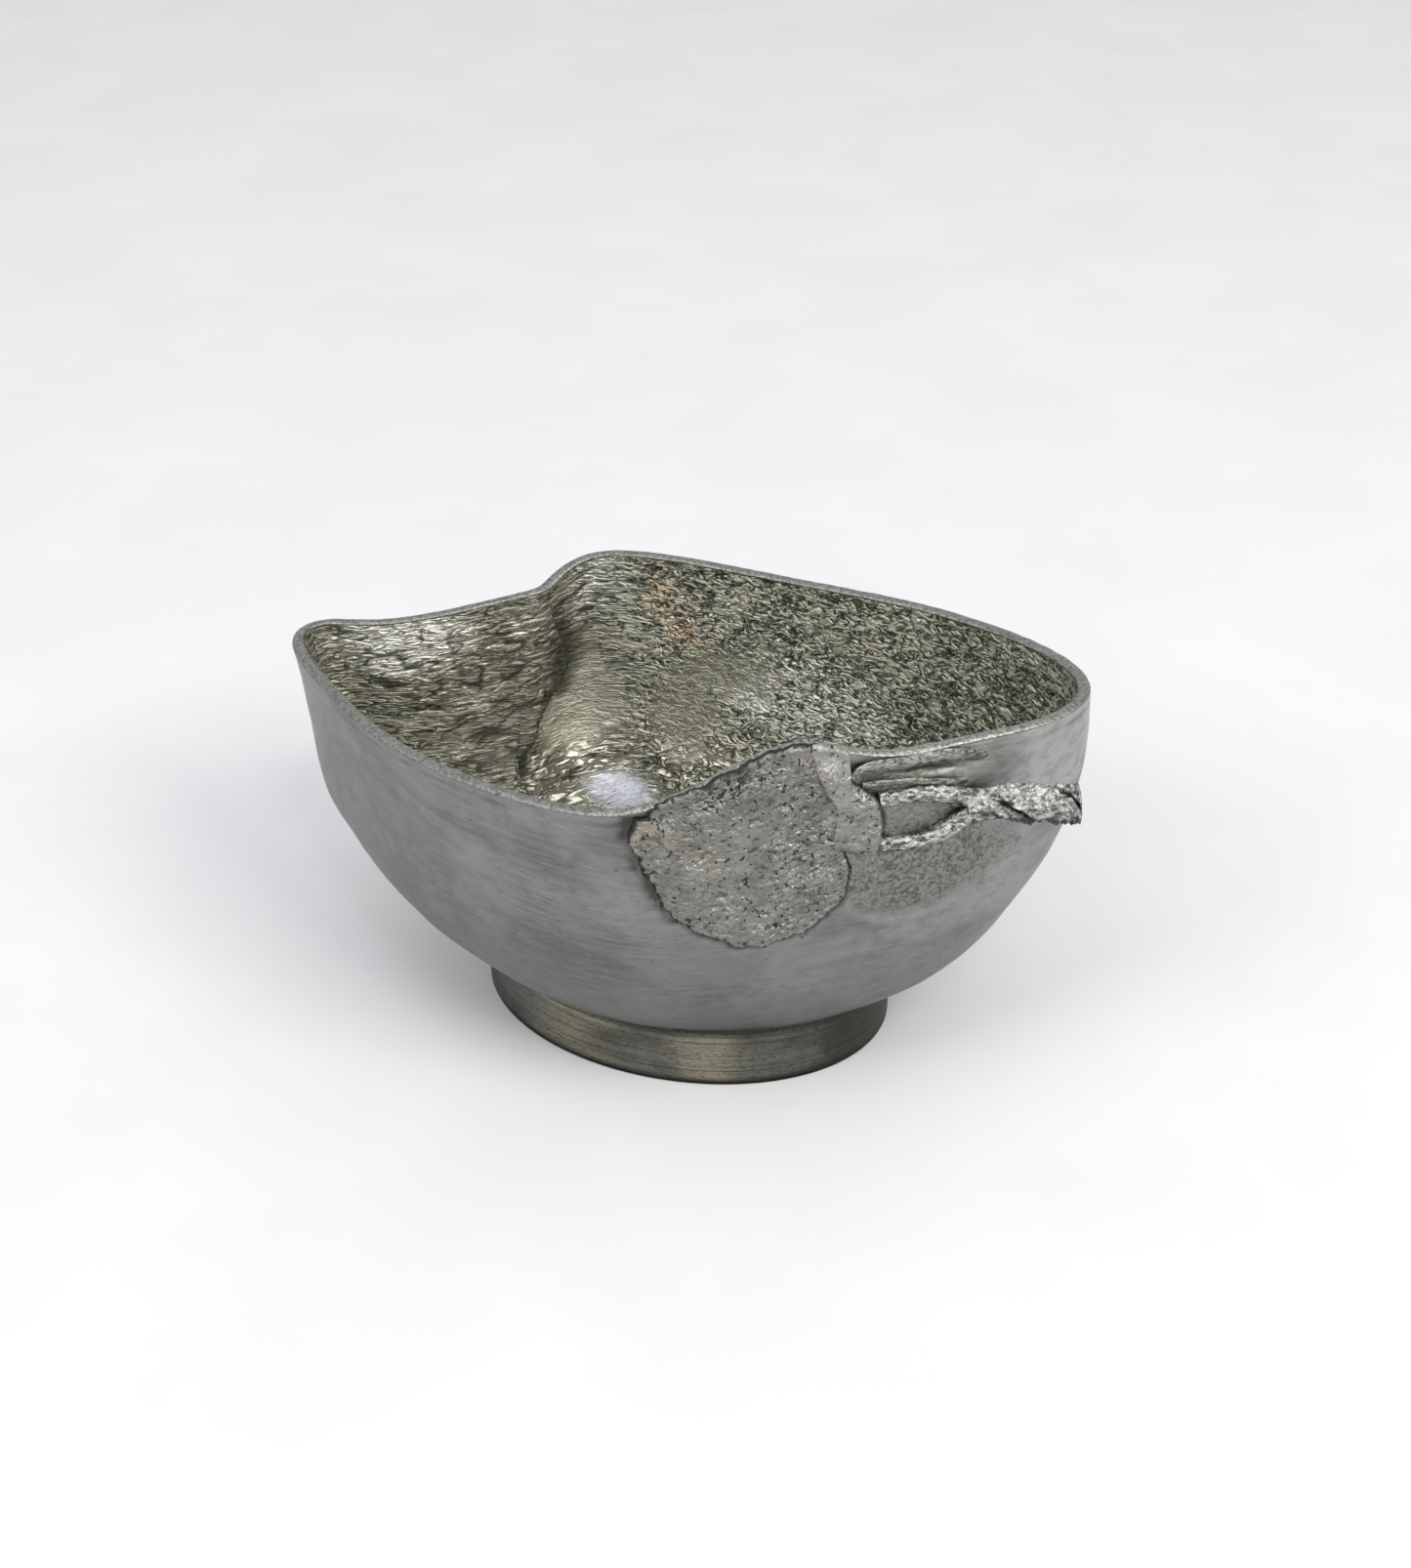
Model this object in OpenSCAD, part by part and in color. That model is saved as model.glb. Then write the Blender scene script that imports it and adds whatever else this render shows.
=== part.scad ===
// Sauce boat: a footed oval bowl pinched into a spout, with an applied leaf whose
// stems run round the wall and twist together into a twig handle.
// Millimetres. The origin is the centre of the foot's resting face, +Z is up, the
// spout points to -X, and the leaf is on the -Y side.

/* [Bowl] */
// Length of the bowl from the spout's tip to its tail
body_l = 145; // [120:0.5:180]
// Width of the bowl across its two long sides
body_w = 86; // [75:0.5:105]
// Height of the rim at the middle of the plain side
rim_h = 64.7; // [56:0.1:76]
// Thickness of the cast wall
wall_t = 2.2; // [1.6:0.1:3]

/* [Foot] */
// Length of the foot ring
foot_l = 75.8; // [62:0.1:84]
// Width of the foot ring
foot_w = 57; // [46:0.1:64]
// Height of the foot ring
foot_h = 12.6; // [9:0.1:14]
// Thickness of the foot ring
foot_wall = 3; // [2.2:0.1:4]
// Reach of the solder seam along the foot and along the bowl
seam = 1.1; // [0.6:0.1:2]

/* [Leaf] */
// Thickness of the leaf
leaf_t = 1.5; // [1:0.1:2.5]
// Thickness of the leaf's folded edge
fold_t = 2.6; // [1.6:0.1:4]

/* [Stems] */
// Width of the broad stem strands, along the wall
strand_w = 2.6; // [1.6:0.1:3.2]
// Height of the broad stem strands, off the wall
strand_h = 2.4; // [1.4:0.1:3]
// Diameter of the twig that the stems make
twig_d = 6.2; // [4.5:0.1:7]

/* [Hidden] */

// Stations round the bowl, and steps from the foot to the rim at each station
stations = 90;
wall_rings = 12;
// The bowl overhangs the foot ring by this much all round
overhang = 0.4;
// Depth that the bowl's floor and its underside dish below the edge of the foot
floor_dish = 3.5;
under_dish = 3.2;
// Height of the rounded lip above its two edges
lip_crown = 0.4;

// Handles of the rim's outer edge, anticlockwise from the tail, for a bowl of the drawn size
DRAWN = [145, 86.3, 64];
RIM = [
    // tail and plain side
    [68.6, 9, 69.5], [66.4, 17.2, 69], [59.5, 26, 67.5], [47, 34, 66], [29.8, 39.8, 65],
    [11, 42, 64], [-8, 43.2, 64], [-22, 43.4, 64],
    // pinch between the bowl and the spout
    [-33.5, 42.4, 63.2], [-38.7, 37.8, 61.4], [-40.4, 32.8, 59.9], [-40.8, 30.2, 59.5],
    // spout
    [-42.8, 28.8, 59.1], [-57.5, 15.5, 58], [-66.5, 11, 57.5], [-74.5, 9, 58], [-78.5, 2, 58],
    [-73, -6.2, 58], [-63.5, -14, 58],
    // front side
    [-49.5, -26, 59], [-33, -35.5, 60.5], [-14, -42.3, 62.3], [6, -44, 63],
    // rise behind the leaf, and back to the tail
    [20, -38.5, 71.4], [31, -31, 77.4], [41, -24, 70.2], [53, -15, 71.8], [64.4, -3.5, 70.4]
];
stretch = [body_l / DRAWN[0], body_w / DRAWN[1], rim_h / DRAWN[2]];
rim = [for (p = RIM) [p[0] * stretch[0], p[1] * stretch[1], p[2] * stretch[2]]];
bowl_foot = [foot_l / 2 + overhang, foot_w / 2 + overhang];

// Wall profile handles as [share of the way out, share of the way up] from foot to rim
SPOUT_PROFILE = [[0.22, 0.04], [1.05, 0.21], [0.90, 0.61]];
TAIL_PROFILE = [[0.44, 0.05], [0.62, 0.20], [1.06, 0.62]];
// Bearing at which the wall has the tail profile alone
TAIL_BEARING = 20;
// Turn of the pinch, how far it spreads, and the angle that each profile handle there is
// swung towards the spout, so that the fold inside leans
PINCH_TURN = 138;
PINCH_SPREAD = 24;
PINCH_SWAY = [13, 13, 4];

// Places on the wall are [turn, rise] or [turn, rise, lift]: the turn round the rim in
// degrees from the tail, the rise from 0 at the foot to 1 at the rim, and the lift off
// the wall in millimetres.
LEAF = [[284.4, 0.992], [283.4, 0.968], [285.0, 0.925], [286.6, 0.86], [289.2, 0.785],
    [295.5, 0.695], [303.8, 0.63], [311.8, 0.67], [317.2, 0.74], [318.2, 0.805], [316.4, 0.86],
    [316.0, 0.90], [314.4, 0.945], [312.0, 0.985], [309.6, 1.002], [304.0, 1.000], [298, 1.000],
    [291, 0.999], [286.8, 0.997]];
FOLD = [[309.6, 1.000], [313.0, 1.000], [317.2, 0.999], [318.2, 0.965], [321.2, 0.954],
    [322.2, 0.92], [322.4, 0.87], [321.4, 0.850], [318.8, 0.848], [315.8, 0.855], [316.6, 0.90],
    [315.2, 0.945], [312.6, 0.978]];
UPPER = [[317.2, 0.970, 0.8], [318.8, 0.984, 0.6], [321.5, 0.991, 0.5], [326.0, 0.994, 0.4],
    [330.4, 0.994, 0.4], [334.0, 0.990, 0.4], [337.0, 0.984, 0.4], [339.0, 0.979, 0.4]];
INNER = [[318.6, 0.962, 0.6], [321.8, 0.967, 0.5], [325.4, 0.967, 0.5], [329.0, 0.961, 0.5],
    [332.6, 0.953, 0.5], [336.0, 0.945, 0.5]];
MIDDLE = [[321.4, 0.942, 0.8], [325.0, 0.947, 0.8], [328.0, 0.946, 0.8], [331.2, 0.938, 0.9],
    [334.0, 0.928, 1.2]];
LOWER = [[321.8, 0.868, 0.8], [325.6, 0.866, 0.8], [329.2, 0.868, 0.9], [332.2, 0.879, 1.0],
    [334.2, 0.893, 1.2]];
TWIG = [[334.2, 0.917, 2.0], [337.2, 0.921, 2.8], [341.2, 0.926, 6.0], [344.6, 0.930, 9.4],
    [346.0, 0.933, 11.0]];

pewter = [0.60, 0.61, 0.62];
pewter_dark = [0.40, 0.41, 0.42];
pewter_rough = [0.50, 0.51, 0.50];
pewter_bright = [0.74, 0.74, 0.72];

// ---- curves ----

function unit(v) = v / norm(v);
function sum(v, i = 0) = i < len(v) ? v[i] + sum(v, i + 1) : v[0] * 0;
function mean(v) = sum(v) / len(v);
function in_ring(list, i) = list[(i % len(list) + len(list)) % len(list)];

// Closed cubic B-spline drawn by its handles, at a turn in degrees
function closed_curve(handles, turn) =
    let (u = turn / 360 * len(handles), i = floor(u), t = u - i)
    (in_ring(handles, i - 1) * pow(1 - t, 3)
        + in_ring(handles, i) * (3 * pow(t, 3) - 6 * t * t + 4)
        + in_ring(handles, i + 1) * (-3 * pow(t, 3) + 3 * t * t + 3 * t + 1)
        + in_ring(handles, i + 2) * pow(t, 3)) / 6;

// Curve through all the points, at a share of its length by point count
function curve_through(points, share) =
    let (last = len(points) - 1, u = min(share * last, last - 0.0001), i = floor(u), t = u - i,
        a = points[max(i - 1, 0)], b = points[i], c = points[i + 1], d = points[min(i + 2, last)])
    (b * 2 + (c - a) * t + (a * 2 - b * 5 + c * 4 - d) * t * t
        + (b * 3 - a - c * 3 + d) * pow(t, 3)) / 2;

function bezier(a, b, c, d, t) = a * pow(1 - t, 3) + b * 3 * t * pow(1 - t, 2)
    + c * 3 * t * t * (1 - t) + d * pow(t, 3);

// ---- the wall's outer surface ----

function bearing(p) = atan2(p[1] / body_w, p[0] / body_l);
function bowl_foot_at(turn) =
    let (a = bearing(closed_curve(rim, turn)))
    [bowl_foot[0] * cos(a), bowl_foot[1] * sin(a), foot_h];

// One profile handle, between the foot and the rim, swung round the Z axis
function handle(foot, top, spout_share, tail_share, tail_part, swing) =
    let (share = spout_share * (1 - tail_part) + tail_share * tail_part,
        x = foot[0] + (top[0] - foot[0]) * share[0],
        y = foot[1] + (top[1] - foot[1]) * share[0])
    [x * cos(swing) - y * sin(swing), x * sin(swing) + y * cos(swing),
        foot[2] + (top[2] - foot[2]) * share[1]];

function wall_at(turn, rise) =
    let (top = closed_curve(rim, turn), foot = bowl_foot_at(turn),
        tail_part = (1 + cos(bearing(top) - TAIL_BEARING)) / 2,
        pinch = exp(-pow((turn - floor(turn / 360) * 360 - PINCH_TURN) / PINCH_SPREAD, 2)),
        h = [for (k = [0:2]) handle(foot, top, SPOUT_PROFILE[k], TAIL_PROFILE[k], tail_part,
            PINCH_SWAY[k] * pinch)],
        low = (h[0] + h[1]) / 2, high = (h[1] + h[2]) / 2, middle = (low + high) / 2)
    rise < 0.5 ? bezier(foot, h[0], low, middle, rise * 2)
        : bezier(middle, high, h[2], top, rise * 2 - 1);

// Outward normal of the wall
function wall_normal(turn, rise) =
    let (step = 0.01, high = min(rise + step, 1), low = max(rise - step, 0))
    unit(cross(wall_at(turn + 0.5, rise) - wall_at(turn - 0.5, rise),
        wall_at(turn, high) - wall_at(turn, low)));
function off_wall(place, lift) =
    wall_at(place[0], place[1]) + wall_normal(place[0], place[1]) * lift;

// ---- solids from rings of points ----

// Triangles between ring after ring; the last ring joins the first where joined is true
function skin_faces(rings, count, joined = false) = [
    for (r = [0:rings - (joined ? 1 : 2)]) for (c = [0:count - 1])
        let (a = r * count + c, b = r * count + (c + 1) % count,
            over = (r + 1) % rings * count, d = over + c, e = over + (c + 1) % count)
        each [[a, e, b], [a, d, e]]
];

// Solid with a closed point at each end of its stack of rings
module loft(rings, first_tip, last_tip) {
    count = len(rings[0]);
    rows = len(rings);
    points = [for (r = rings) each r, first_tip, last_tip];
    first = rows * count;
    polyhedron(points, [
        each skin_faces(rows, count),
        for (c = [0:count - 1]) [first, c, (c + 1) % count],
        for (c = [0:count - 1]) [first + 1, (rows - 1) * count + (c + 1) % count,
            (rows - 1) * count + c]
    ]);
}

// Pad that lies on the wall inside an outline of [turn, rise] handles
module wall_pad(outline, thickness, edge_share) {
    steps = 54;
    centre = mean(outline);
    edge = [for (i = [0:steps - 1]) closed_curve(outline, 360 * i / steps)];
    inner = [0.35, 0.7, 0.92];
    back = [for (k = inner) [for (p = edge) off_wall(centre + (p - centre) * k, 0)]];
    rim_low = [for (p = edge) off_wall(p, 0)];
    rim_high = [for (p = edge) off_wall(p, thickness * edge_share)];
    front = [for (k = [inner[2], inner[1], inner[0]])
        [for (p = edge) off_wall(centre + (p - centre) * k, thickness)]];
    loft([each back, rim_low, rim_high, each front],
        off_wall(centre, 0), off_wall(centre, thickness));
}

// Tube along wall places with a lift; where it would sink into the wall it lies flat on it
module wall_tube(path, width, height, start_share, end_share, rings, lobes, twist) {
    sides = 16;
    function place(s) = curve_through(path, min(max(s, 0), 1));
    function centre(s) = off_wall(place(s), place(s)[2]);
    function girth(s) = start_share + (end_share - start_share) * s;
    sections = [for (i = [0:rings - 1])
        let (s = i / (rings - 1), p = place(s), out = wall_normal(p[0], p[1]),
            along = unit(centre(s + 0.03) - centre(s - 0.03)),
            side = unit(cross(along, out)), up = cross(side, along))
        [for (k = [0:sides - 1])
            let (a = 360 * k / sides,
                swell = girth(s) * (1 + lobes * cos(3 * (a + twist * s))),
                lift = max(height / 2 * swell * sin(a), -p[2]))
            centre(s) + side * width / 2 * swell * cos(a) + up * lift]];
    loft(sections, mean(sections[0]), mean(sections[rings - 1]));
}

// ---- the pieces ----

module bowl() {
    turns = [for (i = [0:stations - 1]) 360 * i / stations];
    // Share of the foot's half length at which the seat for the foot ring ends
    seat = 1 - (foot_wall + overhang + 0.6) / bowl_foot[1];
    function under(k) = [for (t = turns)
        let (p = bowl_foot_at(t)) [p[0] * k, p[1] * k, foot_h - under_dish * (1 - pow(k / seat, 2))]];
    function floor_ring(k) = [for (t = turns)
        let (p = off_wall([t, 0], -wall_t)) [p[0] * k, p[1] * k, p[2] - floor_dish * (1 - k * k)]];
    outside = [for (r = [0:wall_rings]) [for (t = turns) wall_at(t, r / wall_rings)]];
    lip = [for (t = turns) off_wall([t, 1], -wall_t / 2) + [0, 0, lip_crown]];
    inside = [for (r = [wall_rings:-1:0]) [for (t = turns) off_wall([t, r / wall_rings], -wall_t)]];
    rings = [under(seat * 0.4), under(seat * 0.75), under(seat), each outside, lip, each inside,
        floor_ring(0.75), floor_ring(0.4)];
    color(pewter)
        loft(rings, [0, 0, foot_h - under_dish], [0, 0, mean(floor_ring(0.4))[2] - floor_dish * 0.16]);
}

module foot_ring() {
    function oval(inset) = [for (i = [0:95])
        [(foot_l / 2 - inset) * cos(i * 3.75), (foot_w / 2 - inset) * sin(i * 3.75)]];
    color(pewter_dark)
        linear_extrude(foot_h)
            difference() {
                polygon(oval(0));
                polygon(oval(foot_wall));
            }
}

// Hollow-faced fillet in the corner under the bowl's overhang
module foot_solder_seam() {
    sections = [for (i = [0:stations - 1])
        let (turn = 360 * i / stations, corner = bowl_foot_at(turn),
            out = unit([corner[0] / pow(bowl_foot[0], 2), corner[1] / pow(bowl_foot[1], 2), 0]),
            top = corner - out * overhang, low = top - [0, 0, seam],
            tip = wall_at(turn, 0.035 * seam),
            hollow = (low + tip) / 2 + (top - (low + tip) / 2) * 0.35)
        [top, low, hollow, tip, corner]];
    color(pewter_bright)
        polyhedron([for (s = sections) each s], skin_faces(stations, 5, true));
}

module leaf() {
    color(pewter_rough) wall_pad(LEAF, leaf_t, 0.7);
}

module leaf_folded_edge() {
    color(pewter_rough) wall_pad(FOLD, fold_t, 0.7);
}

module stem_upper_strand() {
    color(pewter_rough) wall_tube(UPPER, strand_w * 0.9, strand_h * 0.6, 1, 0.4, 22, 0, 0);
}

module stem_inner_strand() {
    color(pewter_rough) wall_tube(INNER, strand_w * 0.45, strand_h * 0.5, 0.8, 1, 18, 0, 0);
}

module stem_middle_strand() {
    color(pewter_bright) wall_tube(MIDDLE, strand_w * 0.85, strand_h, 0.9, 1.1, 18, 0.05, 90);
}

module stem_lower_strand() {
    color(pewter_bright) wall_tube(LOWER, strand_w * 0.85, strand_h, 1.1, 1.3, 18, 0.05, 90);
}

module twig_handle() {
    color(pewter_bright) wall_tube(TWIG, twig_d, twig_d, 0.85, 1, 24, 0.04, 80);
}

bowl();
foot_ring();
foot_solder_seam();
leaf();
leaf_folded_edge();
stem_upper_strand();
stem_inner_strand();
stem_middle_strand();
stem_lower_strand();
twig_handle();
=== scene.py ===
"""Looks of the cast pewter sauce boat: high-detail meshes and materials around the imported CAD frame."""

import math

import bpy
import numpy as np
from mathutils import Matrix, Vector


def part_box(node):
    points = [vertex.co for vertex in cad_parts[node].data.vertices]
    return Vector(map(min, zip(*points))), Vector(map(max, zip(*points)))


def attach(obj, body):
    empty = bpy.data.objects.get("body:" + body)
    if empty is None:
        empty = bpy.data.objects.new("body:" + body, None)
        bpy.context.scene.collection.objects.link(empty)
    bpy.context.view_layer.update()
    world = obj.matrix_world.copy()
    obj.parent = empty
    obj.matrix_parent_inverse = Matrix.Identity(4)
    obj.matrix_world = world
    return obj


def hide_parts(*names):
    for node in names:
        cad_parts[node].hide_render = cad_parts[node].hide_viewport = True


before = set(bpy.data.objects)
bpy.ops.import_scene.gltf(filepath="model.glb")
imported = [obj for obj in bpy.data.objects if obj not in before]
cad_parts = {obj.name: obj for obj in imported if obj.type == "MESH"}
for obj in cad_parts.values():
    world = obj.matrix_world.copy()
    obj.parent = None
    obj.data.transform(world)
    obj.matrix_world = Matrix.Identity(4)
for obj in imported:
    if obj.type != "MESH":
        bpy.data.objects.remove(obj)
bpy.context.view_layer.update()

MM = 0.001
UP = np.array([0, 0, 1.0])

# --- Shape of the wall, the same as the design's. Lengths are in millimetres.
RIM = [
    (68.6, 9, 69.5), (66.4, 17.2, 69), (59.5, 26, 67.5), (47, 34, 66), (29.8, 39.8, 65),
    (11, 42, 64), (-8, 43.2, 64), (-22, 43.4, 64),
    (-33.5, 42.4, 63.2), (-38.7, 37.8, 61.4), (-40.4, 32.8, 59.9), (-40.8, 30.2, 59.5),
    (-42.8, 28.8, 59.1), (-57.5, 15.5, 58), (-66.5, 11, 57.5), (-74.5, 9, 58), (-78.5, 2, 58),
    (-73, -6.2, 58), (-63.5, -14, 58),
    (-49.5, -26, 59), (-33, -35.5, 60.5), (-14, -42.3, 62.3), (6, -44, 63),
    (20, -38.5, 71.4), (31, -31, 77.4), (41, -24, 70.2), (53, -15, 71.8), (64.4, -3.5, 70.4),
]
SPOUT_PROFILE = [(0.22, 0.04), (1.05, 0.21), (0.90, 0.61)]
TAIL_PROFILE = [(0.44, 0.05), (0.62, 0.20), (1.06, 0.62)]
TAIL_BEARING = math.radians(20)
PINCH_TURN = 138.0
PINCH_SPREAD = 24.0
PINCH_SWAY = (13.0, 13.0, 4.0)
WALL_T = 2.2
OVERHANG = 0.4
FLOOR_DISH = 3.5
UNDER_DISH = 3.2
FOOT_WALL = 3.0
SEAT_GAP = 0.6           # from the foot ring's inner face to the dished underside

# Places on the wall: [turn round the rim in degrees, rise from foot to rim, lift off the wall]
LEAF = [
    (284.4, 0.992), (283.4, 0.968), (285.0, 0.925), (286.6, 0.86), (289.2, 0.785), (295.5, 0.695),
    (303.8, 0.63), (311.8, 0.67), (317.2, 0.74), (318.2, 0.805), (316.4, 0.86), (316.0, 0.90),
    (314.4, 0.945), (312.0, 0.985), (309.6, 1.002), (304.0, 1.000), (298, 1.000), (291, 0.999),
    (286.8, 0.997),
]
FOLD = [
    (309.6, 1.000), (313.0, 1.000), (317.2, 0.999), (318.2, 0.965), (321.2, 0.954), (322.2, 0.92),
    (322.4, 0.87), (321.4, 0.850), (318.8, 0.848), (315.8, 0.855), (316.6, 0.90), (315.2, 0.945),
    (312.6, 0.978),
]
UPPER = [
    (317.2, 0.970, 0.8), (318.8, 0.984, 0.6), (321.5, 0.991, 0.5), (326.0, 0.994, 0.4),
    (330.4, 0.994, 0.4), (334.0, 0.990, 0.4), (337.0, 0.984, 0.4), (339.0, 0.979, 0.4),
]
INNER = [
    (318.6, 0.962, 0.6), (321.8, 0.967, 0.5), (325.4, 0.967, 0.5), (329.0, 0.961, 0.5),
    (332.6, 0.953, 0.5), (336.0, 0.945, 0.5),
]
MIDDLE = [
    (321.4, 0.942, 0.8), (325.0, 0.947, 0.8), (328.0, 0.946, 0.8), (331.2, 0.938, 0.9),
    (334.0, 0.928, 1.2),
]
LOWER = [
    (321.8, 0.868, 0.8), (325.6, 0.866, 0.8), (329.2, 0.868, 0.9), (332.2, 0.879, 1.0),
    (334.2, 0.893, 1.2),
]
TWIG = [
    (334.2, 0.917, 2.0), (337.2, 0.921, 2.8), (341.2, 0.926, 6.0), (344.6, 0.930, 9.4),
    (346.0, 0.933, 11.0),
]
FOLD_LAP = 2.6           # degrees by which the fold's near side laps over the leaf
STRAND_W = 2.6
STRAND_H = 2.4
TWIG_D = 6.2
LEAF_T = 1.5
FOLD_T = 2.6

foot_low, foot_high = [np.array(corner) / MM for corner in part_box("foot_ring")]
FOOT_H = foot_high[2]
FOOT_HALF = (foot_high - foot_low)[:2] / 2
BOWL_FOOT = FOOT_HALF + OVERHANG
BODY_L, BODY_W, RIM_H = 145.0, 86.0, 64.7
DRAWN = (145.0, 86.3, 64.0)
RIM_HANDLES = np.array(RIM, float) * (BODY_L / DRAWN[0], BODY_W / DRAWN[1], RIM_H / DRAWN[2])


def unit(v):
    return v / np.maximum(np.linalg.norm(v, axis=-1, keepdims=True), 1e-12)


def smoothstep(low, high, x):
    t = np.clip((x - low) / (high - low), 0, 1)
    return t * t * (3 - 2 * t)


def closed_curve(handles, turn):
    """Closed cubic B-spline drawn by its handles, at turns in degrees."""
    handles = np.asarray(handles, float)
    u = np.asarray(turn, float) / 360 * len(handles)
    i = np.floor(u).astype(int)
    t = (u - i)[..., None]
    before, at, after, beyond = [handles[(i + k) % len(handles)] for k in (-1, 0, 1, 2)]
    return ((1 - t) ** 3 * before + (3 * t ** 3 - 6 * t ** 2 + 4) * at
            + (-3 * t ** 3 + 3 * t ** 2 + 3 * t + 1) * after + t ** 3 * beyond) / 6


def curve_through(points, share):
    """Curve through all the points, at a share of its length by point count."""
    points = np.asarray(points, float)
    last = len(points) - 1
    u = np.clip(np.asarray(share, float) * last, 0, last - 0.0001)
    i = np.floor(u).astype(int)
    t = (u - i)[..., None]
    a, b, c, d = points[np.maximum(i - 1, 0)], points[i], points[i + 1], points[np.minimum(i + 2, last)]
    return (b * 2 + (c - a) * t + (a * 2 - b * 5 + c * 4 - d) * t ** 2
            + (b * 3 - a - c * 3 + d) * t ** 3) / 2


def bezier(a, b, c, d, t):
    return a * (1 - t) ** 3 + b * 3 * t * (1 - t) ** 2 + c * 3 * t * t * (1 - t) + d * t ** 3


def bearing(point):
    return np.arctan2(point[..., 1] / BODY_W, point[..., 0] / BODY_L)


def wall_at(turn, rise):
    """Points of the wall's outer surface."""
    turn, rise = np.broadcast_arrays(np.asarray(turn, float), np.asarray(rise, float))
    top = closed_curve(RIM_HANDLES, turn)
    a = bearing(top)
    foot = np.stack([BOWL_FOOT[0] * np.cos(a), BOWL_FOOT[1] * np.sin(a), np.full_like(a, FOOT_H)], -1)
    tail_part = (1 + np.cos(a - TAIL_BEARING)) / 2
    pinch = np.exp(-((turn % 360 - PINCH_TURN) / PINCH_SPREAD) ** 2)
    handles = []
    for spout_share, tail_share, sway in zip(SPOUT_PROFILE, TAIL_PROFILE, PINCH_SWAY):
        out = (spout_share[0] * (1 - tail_part) + tail_share[0] * tail_part)[..., None]
        up = (spout_share[1] * (1 - tail_part) + tail_share[1] * tail_part)[..., None]
        handle = foot + (top - foot) * np.concatenate([out, out, up], -1)
        swing = np.radians(sway) * pinch
        x = handle[..., 0] * np.cos(swing) - handle[..., 1] * np.sin(swing)
        y = handle[..., 0] * np.sin(swing) + handle[..., 1] * np.cos(swing)
        handles.append(np.stack([x, y, handle[..., 2]], -1))
    low, high = (handles[0] + handles[1]) / 2, (handles[1] + handles[2]) / 2
    middle = (low + high) / 2
    s = rise[..., None]
    return np.where(s < 0.5, bezier(foot, handles[0], low, middle, s * 2),
                    bezier(middle, high, handles[2], top, s * 2 - 1))


def wall_normal(turn, rise):
    step = 0.01
    turn, rise = np.asarray(turn, float), np.asarray(rise, float)
    high, low = np.minimum(rise + step, 1), np.maximum(rise - step, 0)
    return unit(np.cross(wall_at(turn + 0.5, rise) - wall_at(turn - 0.5, rise),
                         wall_at(turn, high) - wall_at(turn, low)))


def off_wall(turn, rise, lift):
    return wall_at(turn, rise) + wall_normal(turn, rise) * np.asarray(lift, float)[..., None]


LIP_RISE = 0.02          # pads carry on over the lip: this much past a rise of 1 is its crown
LIP_CROWN = 0.62


def lip_at(turn, bend):
    """Points and normals of the rounded lip; bend is 0 at its outer edge and pi at its inner edge."""
    outer = wall_at(turn, 1.0)
    half = wall_normal(turn, 1.0) * WALL_T / 2
    crown = np.array([0, 0, WALL_T / 2 * LIP_CROWN])
    cos, sin = np.cos(bend)[..., None], np.sin(bend)[..., None]
    return outer - half + half * cos + crown * sin, unit(half * cos + np.array([0, 0, WALL_T / 2]) * sin)


def skin_at(turn, rise):
    """Points and normals of the outer wall, carried on over the lip where the rise is past 1."""
    wall, out = wall_at(turn, np.minimum(rise, 1)), wall_normal(turn, np.minimum(rise, 1))
    lip, over = lip_at(turn, np.clip((rise - 1) / LIP_RISE, 0, 2) * math.pi / 2)
    past = (rise > 1)[..., None]
    return np.where(past, lip, wall), np.where(past, over, out)


def length_along(points):
    """Distance along the points, from the first one to each."""
    return np.concatenate([[0], np.cumsum(np.linalg.norm(np.diff(points, axis=0), axis=1))])


def even_turns(count):
    """Turns that stand the same distance apart along the rim."""
    fine = np.linspace(0, 360, 5761)
    length = length_along(closed_curve(RIM_HANDLES, fine))
    return np.interp(np.arange(count) / count * length[-1], length, fine)


def even_rises(count):
    """Rises that stand about the same distance apart up the wall."""
    fine = np.linspace(0, 1, 801)
    lengths = [length_along(wall_at(turn, fine)) for turn in (0.0, 90.0, 180.0, 270.0)]
    length = sum(one / one[-1] for one in lengths)
    return np.interp(np.linspace(0, length[-1], count), length, fine)


# --- Noise
TO_EDGES = [(x, y, z) for x in (-1, 0, 1) for y in (-1, 0, 1) for z in (-1, 0, 1)
            if abs(x) + abs(y) + abs(z) == 2]
TO_CORNERS = [(1, 1, 1), (-1, -1, 1), (-1, 1, -1), (1, -1, -1)]
GRADIENTS = unit(np.array(TO_EDGES + TO_CORNERS, float))
HASH_BITS = 0xFFFFFFFF
AXIS_PRIMES = (73856093, 19349663, 83492791)
SEED_PRIME = 40503
MIXERS = ((15, 2246822519), (13, 3266489917))    # shift and factor


def noise(points, seed=0):
    """Smooth gradient noise of about -1 to 1, one cell to a unit."""
    points = np.asarray(points, float)
    cell = np.floor(points).astype(np.int64)
    inside = points - cell
    ease = inside ** 3 * (inside * (inside * 6 - 15) + 10)
    total = np.zeros(points.shape[:-1])
    for corner in ((x, y, z) for x in (0, 1) for y in (0, 1) for z in (0, 1)):
        at = cell + corner
        x, y, z = [at[..., axis] * prime for axis, prime in enumerate(AXIS_PRIMES)]
        mixed = (x ^ y ^ z ^ seed * SEED_PRIME) & HASH_BITS
        for shift, factor in MIXERS:
            mixed = ((mixed ^ (mixed >> shift)) * factor) & HASH_BITS
        slope = GRADIENTS[(mixed ^ (mixed >> 16)) % len(GRADIENTS)]
        weight = np.prod(np.where(np.array(corner) == 1, ease, 1 - ease), -1)
        total += weight * np.sum((inside - corner) * slope, -1)
    return total * 1.6


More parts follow.
